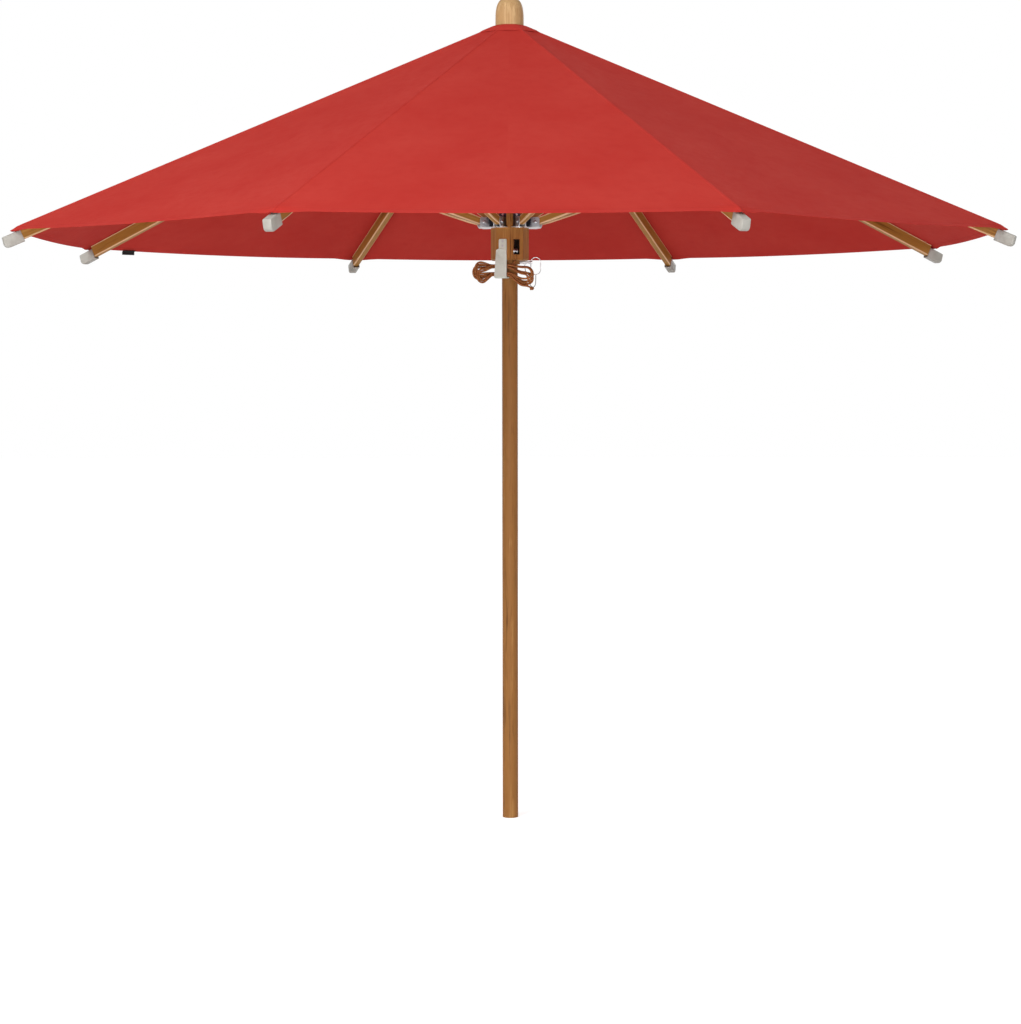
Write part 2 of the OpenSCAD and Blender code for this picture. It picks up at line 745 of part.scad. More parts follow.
// What fastens a rib: its crown bolt, its strut's bolt and the bracket's screws
module rib_bolts(i) color(steel) arm(i) rib_frame() {
    bolt(rib_w + 2 * side_gap + 2 * sheet_t);
    translate([strut_on_rib, 0, -strut_drop]) bolt(strut_w + 2 * side_gap + 2 * sheet_t);
    rib_screw_places() screw();
}

module strut(i) color(wood) arm(i) strut_frame() difference() {
    union() {
        for (u = [0, strut_len]) translate([u, 0, 0]) cross(strut_end_h, strut_w);
        intersection() {
            side(far) polygon([
                [0, strut_end_h / 2], [strut_taper, strut_h / 2],
                [strut_len - strut_taper, strut_h / 2], [strut_len, strut_end_h / 2],
                [strut_len, -strut_end_h / 2], [strut_len - strut_taper, -strut_h / 2],
                [strut_taper, -strut_h / 2], [0, -strut_end_h / 2]
            ]);
            translate([-1, 0, 0]) along(strut_len + 2) polygon([
                for (q = [[1, 1], [-1, 1], [-1, -1], [1, -1]], first = [0, 1]) let (
                    on_side = (q[0] * q[1] > 0) == (first == 0)
                ) [q[0] * (strut_w / 2 - (on_side ? 0 : strut_chamfer)),
                   q[1] * (strut_h / 2 - (on_side ? strut_chamfer : 0))]
            ]);
        }
    }
    for (u = [0, strut_len]) translate([u, 0, 0])
        cross(bolt_d + 2 * turn_gap, far);
}

// ---- nodes ----

pole();
finial();
crown_block();
crown_brackets();
crown_screws();
canopy();
top_sheave();
top_sheave_axle();
hoist_rope();
runner_block();
runner_brackets();
runner_bolts();
runner_fasteners();
runner_sheave();
runner_sheave_axle();
rope_hook();
locking_pin();
rope_tail();
rope_hank();
pin_lanyard();
for (i = ARMS) {
    rib(i);
    rib_cap(i);
    rib_bracket(i);
    rib_bolts(i);
    strut(i);
}
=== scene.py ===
import math
import bpy
import bmesh
from mathutils import Matrix, Vector


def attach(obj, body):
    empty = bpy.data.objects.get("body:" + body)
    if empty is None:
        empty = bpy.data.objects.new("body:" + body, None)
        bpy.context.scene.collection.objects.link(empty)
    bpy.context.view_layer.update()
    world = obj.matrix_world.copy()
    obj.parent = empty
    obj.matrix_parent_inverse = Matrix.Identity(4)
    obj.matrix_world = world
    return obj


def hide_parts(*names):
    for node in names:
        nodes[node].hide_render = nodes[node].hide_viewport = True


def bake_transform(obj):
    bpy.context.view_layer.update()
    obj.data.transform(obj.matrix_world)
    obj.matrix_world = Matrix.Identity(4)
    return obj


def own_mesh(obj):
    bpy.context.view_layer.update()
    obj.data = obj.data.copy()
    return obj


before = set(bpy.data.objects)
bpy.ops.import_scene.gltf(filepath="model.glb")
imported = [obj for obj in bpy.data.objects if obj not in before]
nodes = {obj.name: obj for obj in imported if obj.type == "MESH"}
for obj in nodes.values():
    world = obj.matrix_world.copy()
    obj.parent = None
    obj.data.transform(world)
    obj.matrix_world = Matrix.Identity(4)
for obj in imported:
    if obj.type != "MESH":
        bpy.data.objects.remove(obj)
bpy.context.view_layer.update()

scene = bpy.context.scene
print("frame loaded:", len(nodes), "nodes")

# a piece's own sizes and places are in mm, and its mesh in metres; the camera, the
# finishes and the studio are in metres throughout
arms = {
    "count": 8,
    "turn": -157.5,                 # degrees, arm i stands i steps on from here
    "slope": 23.56,                 # degrees, how far the ribs fall
    "rise": 18.0,                   # degrees, how far the struts climb
    "crownPivot": (86.0, 2722.99),  # out from the pole's axis, and up
    "runnerPivot": (100.0, 2089.2),
}
armNumbers = range(1, arms["count"] + 1)
halfPanel = math.pi / arms["count"]
slope = math.radians(arms["slope"])
rise = math.radians(arms["rise"])


def armAngle(i):
    return math.radians(i * 360 / arms["count"] + arms["turn"])


def armPoint(i, r, y, z):
    # from a point in arm i's own frame, in mm, to metres in the shared frame
    c, s = math.cos(armAngle(i)), math.sin(armAngle(i))
    return Vector((r * c - y * s, r * s + y * c, z)) / 1000


def pivotPoint(i, pivot):
    out, up = arms[pivot]
    return armPoint(i, out, 0, up)


def pickNone():
    bpy.ops.object.select_all(action="DESELECT")


def pickOnly(piece):
    pickNone()
    piece.select_set(True)
    bpy.context.view_layer.objects.active = piece


def newObject(name, verts, faces):
    mesh = bpy.data.meshes.new(name)
    mesh.from_pydata([tuple(v) for v in verts], [], faces)
    mesh.update()
    for poly in mesh.polygons:
        poly.use_smooth = True
    made = bpy.data.objects.new(name, mesh)
    bpy.context.collection.objects.link(made)
    return made


def gridFaces(rows, cols, closed=False, flipped=False):
    # faces between rows of points, closed where each row runs back to its start
    made = []
    for k in range(rows - 1):
        for j in range(cols if closed else cols - 1):
            a, b = k * cols + j, k * cols + (j + 1) % cols
            made.append((a, a + cols, b + cols, b) if flipped else (a, b, b + cols, a + cols))
    return made


def settle(piece):
    # put the piece's place and size into its mesh
    pickOnly(piece)
    bpy.ops.object.transform_apply(location=True, rotation=True, scale=True)


def applyAll(piece):
    pickOnly(piece)
    for mod in [m.name for m in piece.modifiers]:
        bpy.ops.object.modifier_apply(modifier=mod)


def copyTo(piece, name, matrix):
    twin = piece.copy()
    twin.data = piece.data.copy()
    twin.data.transform(matrix)
    twin.name = twin.data.name = name
    bpy.context.collection.objects.link(twin)
    return twin


def smoothStep(t):
    t = min(1.0, max(0.0, t))
    return t * t * (3 - 2 * t)


def distances(points):
    # how far along the line each of its points lies
    marks = [0.0]
    for a, b in zip(points, points[1:]):
        marks.append(marks[-1] + (b - a).length)
    return marks


def lengthOf(points):
    return distances(points)[-1]


def stretchAt(marks, at):
    k = 0
    while k < len(marks) - 2 and marks[k + 1] < at:
        k += 1
    return k


def resample(points, step):
    # points spaced evenly along a line
    marks = distances(points)
    count = max(2, round(marks[-1] / step))
    out = []
    for n in range(count + 1):
        at = marks[-1] * n / count
        k = stretchAt(marks, at)
        span = marks[k + 1] - marks[k] or 1.0
        out.append(points[k].lerp(points[k + 1], (at - marks[k]) / span))
    return out


def relax(points, rounds):
    pts = [p.copy() for p in points]
    for _ in range(rounds):
        pts = [pts[0]] + [
            (a + b * 2 + c) / 4 for a, b, c in zip(pts, pts[1:], pts[2:])
        ] + [pts[-1]]
    return pts


camera = {
    "place": (0.0466, -8.2095, 1.6193),
    "lens": 82.42,
    "sensor": 36,
    "turn": 0.316,      # degrees to the left
    "down": 3.7577,
    "roll": -0.0634,
    "farthest": 100,
}


def cameraAt(c):
    data = bpy.data.cameras.new("camera")
    data.lens = c["lens"]
    data.sensor_width = c["sensor"]
    data.clip_end = c["farthest"]
    made = bpy.data.objects.new("camera", data)
    bpy.context.collection.objects.link(made)
    made.matrix_world = (
        Matrix.Translation(c["place"])
        @ Matrix.Rotation(math.radians(c["turn"]), 4, "Z")
        @ Matrix.Rotation(math.radians(90 - c["down"]), 4, "X")
        @ Matrix.Rotation(math.radians(c["roll"]), 4, "Z")
    )
    return made


scene.camera = cameraAt(camera)
scene.view_settings.view_transform = "Standard"
print("camera placed")

laidRope = {
    "strands": 3,
    "groove": 0.13,         # share of the radius lost between two strands
    "roundness": 1.5,
    "sides": 18,
}


def ropeTube(name, points, width, lay, sides=laidRope["sides"], caps=True):
    # strands wound round one another along the line, one turn for each length of lay
    verts, uvs = [], []
    side = None
    for k, (p, run) in enumerate(zip(points, distances(points))):
        ahead = points[min(k + 1, len(points) - 1)] - points[max(k - 1, 0)]
        ahead.normalize()
        if side is None:
            side = ahead.orthogonal().normalized()
        side = (side - ahead * side.dot(ahead)).normalized()
        other = ahead.cross(side)
        turn = 2 * math.pi * run / lay
        for j in range(sides):
            a = 2 * math.pi * j / sides
            lobe = abs(math.cos(laidRope["strands"] / 2 * (a - turn)))
            r = width / 2 * (1 - laidRope["groove"] * (1 - lobe) ** laidRope["roundness"])
            verts.append(p + side * (r * math.cos(a)) + other * (r * math.sin(a)))
            uvs.append((j / sides, run / (math.pi * width)))
    faces = gridFaces(len(points), sides, closed=True)
    if caps:
        last = (len(points) - 1) * sides
        faces.append(tuple(reversed(range(sides))))
        faces.append(tuple(last + j for j in range(sides)))
    tube = newObject(name, verts, faces)
    layer = tube.data.uv_layers.new(name="UVMap")
    for poly in tube.data.polygons:
        around = [v % sides for v in poly.vertices]
        closes = max(around) == sides - 1 and min(around) == 0 and len(around) == 4
        for loop, v in zip(poly.loop_indices, poly.vertices):
            u, along = uvs[v]
            layer.data[loop].uv = (1.0 if closes and v % sides == 0 else u, along)
    return tube


# the hoist rope's free end, wound in a hank on its hook
hank = {
    "width": 7.0,
    "lay": 21.0,
    # the hank's middle line, from above
    "line": [(-125, -85), (-120, -82), (-111, -75), (-96, -63.5), (-76, -46.8),
             (-67, -38.6), (-61.5, -34.6), (-55.8, -32.4), (-49, -32.4), (-43, -34),
             (-37, -36.4), (-19, -45), (-5, -51), (20, -58), (50, -65), (66, -69),
             (76, -71), (84, -72.5)],
    "lineRelax": 30,
    "hookSpan": (-61.0, -8.0),      # x where the strands lie level on the hook
    "leftEnd": 27.0,                # the end loops' middles, in from the hank's tips
    "rightEnd": 26.0,
    "rightEase": 9.0,               # the runs are spread apart this far before that
    # each turn: sideways place, heights of its two runs on the hook, its left loop
    # (along, height, radius), heights of the runs at the right, right loop along
    "turns": [
        (7.15, (1940.5, 1906.5), (-1, 1915, 23), (1928.5, 1875), 2),
        (7.15, (1933.3, 1913.7), (-1, 1915, 16), (1913, 1884), -3),
        (0.0, (1940.5, 1906.5), (3, 1927, 23), (1934, 1870), -9),
        (0.0, (1933.3, 1913.7), (3, 1927, 15.8), (1916, 1877.5), -9),
        (-7.15, (1933.3, 1913.7), (5, 1903, 15.8), (1909.5, 1893), -1),
        (-7.15, (1940.5, 1906.5), (5, 1903, 23), (1932, 1869), 0),
    ],
    "startX": -4.0,                 # where the first turn begins
    "stopX": 50.0,                  # where the last run leaves for the knot
    "step": 3.0,                    # between points along a run
    "loopSteps": 18,
    "exit": (17.82, -43.02, 1956.2),
    "wayOut": (0.1, -0.25, -0.95),
    "wayOutPull": 10.0,
    "ontoHank": (12, -2.5, 0.2),    # the curves' other pulls, from the points they join
    "offHank": (13, -3, 0),
    "ontoKnot": (-9, 0.5, 7.5),
    "leadSteps": 12,
    "tailSteps": 14,
    "ropeRelax": 5,
    "knot": (76.0, -73.0, 1859.5),
    "knotSize": 6.2,
}
pointSpacing = 2.5      # along the finished ropes


def easeTo(start, pull, pushBack, stop, count):
    # a curve that leaves along one way and arrives along another
    made = []
    for n in range(1, count):
        t = n / count
        made.append(start * (1 - t) ** 3 + pull * 3 * t * (1 - t) ** 2
                    + pushBack * 3 * t * t * (1 - t) + stop * t ** 3)
    return made


def hankPoints(h):
    line = relax(resample([Vector((x, y, 0)) for x, y in h["line"]], 1.0), h["lineRelax"])
    marks = distances(line)
    total = marks[-1]

    def spot(s):
        k = stretchAt(marks, s)
        a, b = line[k], line[k + 1]
        return a.lerp(b, (s - marks[k]) / (marks[k + 1] - marks[k])), (b - a).normalized()

    def atX(x):
        return min(marks, key=lambda m: abs(spot(m)[0].x - x))

    hookLeft, hookRight = (atX(x) for x in h["hookSpan"])
    endLeft, endRight = h["leftEnd"], total - h["rightEnd"]

    def place(s, off, z):
        p, d = spot(max(0.0, min(total, s)))
        return Vector((p.x - d.y * off, p.y + d.x * off, z))

    def runHeight(s, onHook, atLeft, atRight, leftAt):
        if s < hookLeft:
            return onHook + (atLeft - onHook) * smoothStep(
                (hookLeft - s) / (hookLeft - leftAt))
        if s > hookRight:
            return onHook + (atRight - onHook) * smoothStep(
                (s - hookRight) / (endRight - h["rightEase"] - hookRight))
        return onHook

    pts = []
    turns = h["turns"]
    s = atX(h["startX"])
    for k, (off, onHook, (shift, z, r), (upper, lower), out) in enumerate(turns):
        left = endLeft + shift
        while s > left:             # along the top to the left
            pts.append(place(s, off, runHeight(s, onHook[0], z + r, upper, left)))
            s -= h["step"]
        for n in range(h["loopSteps"] + 1):     # down round the left end
            a = math.pi * n / h["loopSteps"]
            pts.append(place(left - r * math.sin(a), off, z + r * math.cos(a)))
        last = k == len(turns) - 1
        stop = atX(h["stopX"]) if last else endRight + out
        s = left + h["step"]
        while s < stop:             # back along the bottom
            pts.append(place(s, off, runHeight(s, onHook[1], z - r, lower, left)))
            s += h["step"]
        if last:
            break
        nextOff, nextUpper = turns[k + 1][0], turns[k + 1][3][0]
        rightR, middle = (nextUpper - lower) / 2, (nextUpper + lower) / 2
        for n in range(h["loopSteps"] + 1):     # and up round the right end
            a = math.pi * n / h["loopSteps"]
            t = smoothStep(n / h["loopSteps"])
            pts.append(place(stop + rightR * math.sin(a), off + (nextOff - off) * t,
                             middle - rightR * math.cos(a)))
        s = stop - 1.0
    # in from the way out of the runner, and down to the knot at the far end
    start, knot = Vector(h["exit"]), Vector(h["knot"])
    drop = Vector(h["wayOut"]).normalized()
    lead = [start] + easeTo(start, start + drop * h["wayOutPull"],
                            pts[0] + Vector(h["ontoHank"]), pts[0], h["leadSteps"])
    tail = easeTo(pts[-1], pts[-1] + Vector(h["offHank"]), knot + Vector(h["ontoKnot"]),
                  knot, h["tailSteps"]) + [knot]
    pts = relax(resample(lead + pts + tail, 2.0), h["ropeRelax"])
    return [p / 1000 for p in resample(pts, pointSpacing)]


def tightest(points):
    worst = 1e9
    for a, b, c in zip(points[::2], points[2::2], points[4::2]):
        turn = (b - a).angle(c - b, 0)
        if turn > 1e-6:
            worst = min(worst, ((b - a).length + (c - b).length) / 2 / turn)
    return worst


pulledKnot = {
    "points": 60,
    "middle": 0.52,         # shares of the knot's size
    "swing": 0.26,
    "squash": 0.9,
    "height": 0.55,
    "width": 6.6,
    "lay": 21.0,
    "step": 2.2,
}


def stopperKnot(name, centre, size):
    # an overhand knot pulled tight, from one closed loop of the same rope
    k = pulledKnot
    pts = []
    for n in range(k["points"]):
        a = 2 * math.pi * n / k["points"]
        r = size * (k["middle"] + k["swing"] * math.cos(3 * a))
        pts.append(centre + Vector((r * math.cos(2 * a), r * math.sin(2 * a) * k["squash"],
                                    size * k["height"] * math.sin(3 * a))))
    pts.append(pts[0].copy())
    return ropeTube(name, resample(pts, k["step"] / 1000), k["width"] / 1000,
                    k["lay"] / 1000, caps=False)


ropeLine = hankPoints(hank)
freeRope = ropeTube("freeRope", ropeLine, hank["width"] / 1000, hank["lay"] / 1000)
farKnot = stopperKnot("farKnot", Vector(hank["knot"]) / 1000, hank["knotSize"] / 1000)
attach(freeRope, "runner")
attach(farKnot, "runner")
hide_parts("rope_tail", "rope_hank")
round(lengthOf(ropeLine), 3)
print("free rope", round(lengthOf(ropeLine), 3), "m, tightest bend",
      round(tightest(ropeLine) * 1000, 1), "mm")

# the same rope from its knot in the runner, over the top pulley and down to the lower one
hoist = {
    "width": 6.8,
    "lay": 21.0,
    "sides": 15,
    "arm": 2,                   # the arm that it stands in line with
    "strand": 32.0,             # from the pole's axis to each strand
    "topWheel": 2598.22,
    "knot": 2056.2,
    "knotSize": 3.6,
    "lowWheel": (42.5, 1989.70),
    "lowPitch": 10.5,
    "turn": 25.0,               # degrees that it bears on the lower pulley
    "foot": (46.07, 1957.4),
}


def arcPoints(middle, radius, start, stop, steps):
    made = []
    for n in range(steps + 1):
        a = start + (stop - start) * n / steps
        made.append(Vector((middle[0] + radius * math.cos(a), 0,
                            middle[1] + radius * math.sin(a))))
    return made


def hoistPoints(h):
    footR, footZ = h["foot"]
    pts = [Vector((-h["strand"], 0, h["knot"]))]
    pts += arcPoints((0, h["topWheel"]), h["strand"], math.pi, 0, 24)
    pts += arcPoints(h["lowWheel"], h["lowPitch"], math.pi,
                     math.pi + math.radians(h["turn"]), 6)
    pts.append(Vector((footR, 0, footZ)))
    return [armPoint(h["arm"], p.x, 0, p.z) for p in resample(pts, pointSpacing)]


hoistLine = hoistPoints(hoist)
hoistRope = ropeTube("hoistRope", hoistLine, hoist["width"] / 1000, hoist["lay"] / 1000,
                     hoist["sides"])
hoistKnot = stopperKnot("hoistKnot", armPoint(hoist["arm"], -hoist["strand"], 0, hoist["knot"]),
                        hoist["knotSize"] / 1000)
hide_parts("hoist_rope")
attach(hoistKnot, "runner")
round(lengthOf(hoistLine), 3)
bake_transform(hoistRope)
print("hoist rope", round(lengthOf(hoistLine), 3), "m")

# the lanyard that keeps the locking pin, from its screw eye to the pin's ring
lanyard = {
    "width": 2.5,
    "lay": 8.0,
    "sides": 12,
    "points": [(52, 22, 1943), (52.6, 20.6, 1935), (54, 18.5, 1923), (57.5, 15.8, 1908),
               (62, 12.8, 1894), (67.5, 9.4, 1881), (73, 6, 1871), (78, 3.8, 1866.3),
               (83, 2, 1866), (87.4, 0.7, 1870.2), (89.7, 0.1, 1878), (90.4, 0, 1892),
               (90.5, 0, 1907)],
}
lanyardLine = resample([Vector(p) / 1000 for p in lanyard["points"]], 0.0015)
lanyardLine = resample(relax(lanyardLine, 6), 0.0016)
pinLanyard = ropeTube("pinLanyard", lanyardLine, lanyard["width"] / 1000,
                      lanyard["lay"] / 1000, lanyard["sides"])
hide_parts("pin_lanyard")
round(lengthOf(lanyardLine), 3)
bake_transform(pinLanyard)
print("cords laid")


class Wire:
    # an output socket that can be used in sums

    def __init__(self, owner, socket):
        self.owner = owner
        self.socket = socket

    def maths(self, operation, *values):
        return self.owner.node("ShaderNodeMath", {"operation": operation},
                               dict(enumerate(values)))

    def __add__(self, other):
        return self.maths("ADD", self, other)

    def __radd__(self, other):
        return self.maths("ADD", other, self)

    def __sub__(self, other):
        return self.maths("SUBTRACT", self, other)

    def __rsub__(self, other):
        return self.maths("SUBTRACT", other, self)

    def __mul__(self, other):
        return self.maths("MULTIPLY", self, other)

    def __rmul__(self, other):
        return self.maths("MULTIPLY", other, self)

    def __pow__(self, other):
        return self.maths("POWER", self, other)

    def __gt__(self, other):
        return self.maths("GREATER_THAN", self, other)

    def __lt__(self, other):
        return self.maths("LESS_THAN", self, other)

    def __abs__(self):
        return self.maths("ABSOLUTE", self)

    def sine(self):
        return self.maths("SINE", self)


class NodeSet:
    # the nodes of one material, or of the world

    def __init__(self, tree):
        self.tree = tree

    def plug(self, socket, value):
        if isinstance(value, Wire):
            self.tree.links.new(value.socket, socket)
        elif isinstance(value, (tuple, list)) and socket.type == "RGBA":
            socket.default_value = tuple(value) + (1.0,) * (4 - len(value))
        else:
            socket.default_value = value

    def node(self, kind, settings=None, sockets=None, out=0):
        # out is one output, or a tuple of them for a list of wires
        made = self.tree.nodes.new(kind)
        for key, value in (settings or {}).items():
            if key == "stops":
                ramp = made.color_ramp
                while len(ramp.elements) < len(value):
                    ramp.elements.new(0.5)
                for element, (at, colour) in zip(ramp.elements, value):
                    element.position = at
                    element.color = tuple(colour) + (1.0,) * (4 - len(colour))
            else:
                setattr(made, key, value)
        for key, value in (sockets or {}).items():
            self.plug(made.inputs[key], value)
        if isinstance(out, tuple):
            return [Wire(self, made.outputs[k]) for k in out]
        return Wire(self, made.outputs[out]) if made.outputs else None

    def directRays(self):
        # 1 for what is seen directly, in a mirror or through glass
        seen, mirrored, through = self.node("ShaderNodeLightPath", out=(
            "Is Camera Ray", "Is Glossy Ray", "Is Transmission Ray"))
        return seen + mirrored + through


class Finish(NodeSet):
    # a material and the ways to build it

    def __init__(self, name, roughness=0.5, metallic=0.0, specular=0.5):
        self.material = bpy.data.materials.new(name)
        self.material.use_nodes = True
        super().__init__(self.material.node_tree)
        self.shader = self.tree.nodes["Principled BSDF"]
        self.set(Roughness=roughness, Metallic=metallic, Specular_IOR_Level=specular)

    def place(self):
        return self.node("ShaderNodeTexCoord", out=3)

    def uv(self):
        return self.node("ShaderNodeUVMap", {"uv_map": "UVMap"})

    def mapped(self, vector, scale=(1, 1, 1), turn=(0, 0, 0), at=(0, 0, 0), kind="POINT"):
        return self.node("ShaderNodeMapping", {"vector_type": kind}, {
            "Vector": vector, "Scale": scale, "Rotation": turn, "Location": at})

    def noise(self, vector, scale, detail=3, rough=0.5, distortion=0.0):
        return self.node("ShaderNodeTexNoise", {}, {
            "Vector": vector, "Scale": scale, "Detail": detail, "Roughness": rough,
            "Distortion": distortion})

    def ramp(self, factor, stops):
        return self.node("ShaderNodeValToRGB", {"stops": stops}, {0: factor})

    def range(self, value, lowIn, highIn, lowOut=0.0, highOut=1.0):
        return self.node("ShaderNodeMapRange", {"clamp": True}, {
            "Value": value, "From Min": lowIn, "From Max": highIn,
            "To Min": lowOut, "To Max": highOut})

    def tint(self, factor, under, over):
        return self.node("ShaderNodeMix", {"data_type": "RGBA"},
                         {0: factor, 6: under, 7: over}, out=2)

    def parts(self, vector):
        return self.node("ShaderNodeSeparateXYZ", {}, {0: vector}, out=(0, 1, 2))

    def bump(self, height, strength, distance):
        self.set(Normal=self.node("ShaderNodeBump", {}, {
            "Height": height, "Strength": strength, "Distance": distance}))

    def set(self, **values):
        for key, value in values.items():
            self.plug(self.shader.inputs[key.replace("_", " ")], value)


def srgb(r, g, b):
    def one(c):
        c /= 255
        return c / 12.92 if c <= 0.04045 else ((c + 0.055) / 1.055) ** 2.4
    return (one(r), one(g), one(b))


def near(value, at, width):
    # 1 where a value lies within a narrow band
    return (value > at - width) * (value < at + width)


woodLook = {
    "dark": srgb(112, 68, 30),
    "middle": srgb(160, 108, 54),
    "light": srgb(184, 132, 74),
    # edge is the colour of a painted highlight along a bar's edges
    "edge": srgb(236, 198, 156),
    "streaks": 34.0,        # bands of grain per metre across the wood
    "pores": 420.0,
    "grainPull": 0.045,     # how far each pattern is drawn out along the wood
    "porePull": 0.03,
    "patchPull": 0.4,
}
poleLook = dict(woodLook, dark=srgb(104, 66, 30), middle=srgb(150, 103, 53),
                light=srgb(172, 126, 72))
ribLook = dict(woodLook, dark=srgb(112, 72, 26), middle=srgb(164, 116, 52),
               light=srgb(188, 142, 74))
paleLook = dict(woodLook, dark=srgb(146, 106, 60), middle=srgb(184, 148, 102),
                light=srgb(206, 174, 128), streaks=60.0)
# the runner's opening for its pulley, whose walls carry painted shade; in metres
pulleyWindow = {"arm": 2, "wide": 0.0233, "from": 0.0270, "to": 0.0620, "low": 1.9770,
                "high": 2.0294, "paintedShade": (0.006, 0.006, 0.008)}


def woodFinish(name, look=woodLook, turn=(0, 0, 0), at=(0, 0, 0), along="X", seed=0.0,
               section=None, window=None):
    # section is the half width and half depth of a bar whose edges carry a pale painted
    # highlight
    def drawnOut(share):
        return (share, 1, 1) if along == "X" else (1, 1, share)

    f = Finish(name, roughness=0.5, specular=0.16)
    flat = f.mapped(f.place(), turn=turn, at=at, kind="TEXTURE")
    shift = (seed, seed * 0.7, seed * 1.3)
    grain = f.mapped(flat, scale=drawnOut(look["grainPull"]), at=shift)
    broad = f.noise(grain, look["streaks"], 3, 0.55, 0.9)
    fine = f.noise(grain, look["streaks"] * 5.5, 4, 0.6, 0.3)
    pores = f.noise(f.mapped(flat, scale=drawnOut(look["porePull"])), look["pores"], 2)
    patches = f.noise(f.mapped(flat, scale=drawnOut(look["patchPull"]), at=shift), 9.0, 2)
    mix = broad * 0.5 + fine * 0.28 + patches * 0.22
    colour = f.ramp(mix, [(0.38, look["dark"]), (0.46, look["middle"]),
                          (0.55, look["middle"]), (0.63, look["light"])])
    poreMask = f.range(pores, 0.60, 0.70)
    colour = f.tint(poreMask * 0.45, colour, look["dark"])
    if section:
        halfWidth, halfDepth = section
        _, y, z = f.parts(flat)
        # painted highlight along the bar's edges, broken up by the grain's noise
        edge = f.range(abs(y), halfWidth - 0.0048, halfWidth - 0.0036) * f.range(
            abs(z), halfDepth - 0.0058, halfDepth - 0.0046)
        edgeHighlightMottle = f.range(fine, 0.35, 0.6, 0.65, 1.0)
        colour = f.tint(edge * edgeHighlightMottle, colour, look["edge"])
    if window:
        w = window
        x, y, z = f.parts(f.mapped(f.place(), turn=(0, 0, armAngle(w["arm"])), kind="TEXTURE"))
        inside = (near(y, 0, w["wide"] / 2) * (x > w["from"]) * (x < w["to"])
                  * (z > w["low"]) * (z < w["high"]))
        # painted shade darkens the wood inside the pulley's opening
        colour = f.tint(inside * 0.94, colour, w["paintedShade"])
    f.set(Base_Color=colour, Roughness=f.range(fine, 0.3, 0.7, 0.42, 0.60))
    f.bump(fine * 0.5 - poreMask * 0.6, 0.35, 0.0006)
    return f.material


steelLook = {"colour": (0.62, 0.63, 0.64), "dull": 0.75, "roughness": 0.32}


def brushed(f, spot):
    f.bump(f.noise(f.mapped(spot, scale=(1, 1, 14)), 160, 2), 0.12, 0.0002)


def steelFinish(name, look=steelLook):
    rough = look["roughness"]
    f = Finish(name, roughness=rough, metallic=1.0)
    spot = f.place()
    cloud = f.noise(spot, 55, 3, 0.6)
    dull = tuple(c * look["dull"] for c in look["colour"])
    f.set(Base_Color=f.tint(f.range(cloud, 0.35, 0.7), look["colour"], dull),
          Roughness=f.range(cloud, 0.3, 0.7, rough * 0.8, rough * 1.25))
    brushed(f, spot)
    return f.material


bracketLook = {
    # black is the painted shade near the pole, foot the colour of a painted highlight
    "black": (0.045, 0.055, 0.075),
    "bright": (0.52, 0.56, 0.60),
    "foot": (0.74, 0.75, 0.76),
}


def bracketFinish(name, footTop, nose, look=bracketLook):
    # dark plates with painted shade towards the pole, bright metal out past their noses, and a
    # painted highlight on their folded feet
    f = Finish(name, roughness=0.36, metallic=0.85)
    spot = f.place()
    x, y, z = f.parts(spot)
    cloud = f.noise(spot, 70, 3, 0.6)
    out = (x * x + y * y) ** 0.5
    # painted shade: dark near the pole, fading to bright metal past the nose
    outOfShade = f.range(out + cloud * 0.03, nose + 0.010, nose + 0.022)
    # painted highlight on the folded feet
    foot = (z < footTop) * f.range(cloud, 0.2, 0.4, 0.6, 1.0)
    f.set(Base_Color=f.tint(foot, f.tint(outOfShade, look["black"], look["bright"]), look["foot"]),
          Roughness=f.range(cloud, 0.3, 0.7, 0.26, 0.48))
    brushed(f, spot)
    return f.material


def plasticFinish(name, colour, grime, roughness=0.45):
    f = Finish(name, roughness=roughness, specular=0.45)
    spot = f.place()
    cloud = f.noise(spot, 24, 3, 0.6)
    f.set(Base_Color=f.tint(f.range(cloud, 0.42, 0.75), colour, grime),
          Roughness=f.range(cloud, 0.3, 0.7, roughness - 0.06, roughness + 0.1))
    f.bump(f.noise(spot, 900, 2), 0.15, 0.0002)
    return f.material


clothLook = {
    "outer": srgb(192, 55, 48),
    "faded": srgb(198, 64, 56),
    "deep": srgb(172, 46, 41),
    "thread": srgb(150, 40, 36),
    "threads": 1300.0,      # threads per metre
    "seamRow": 0.0052,      # from the rib's line to each row of stitches
    "hemRow": 1.8624,       # from the apex down the cloth to the hem's stitches
    "stitch": 0.004,        # length of one stitch with its gap
}


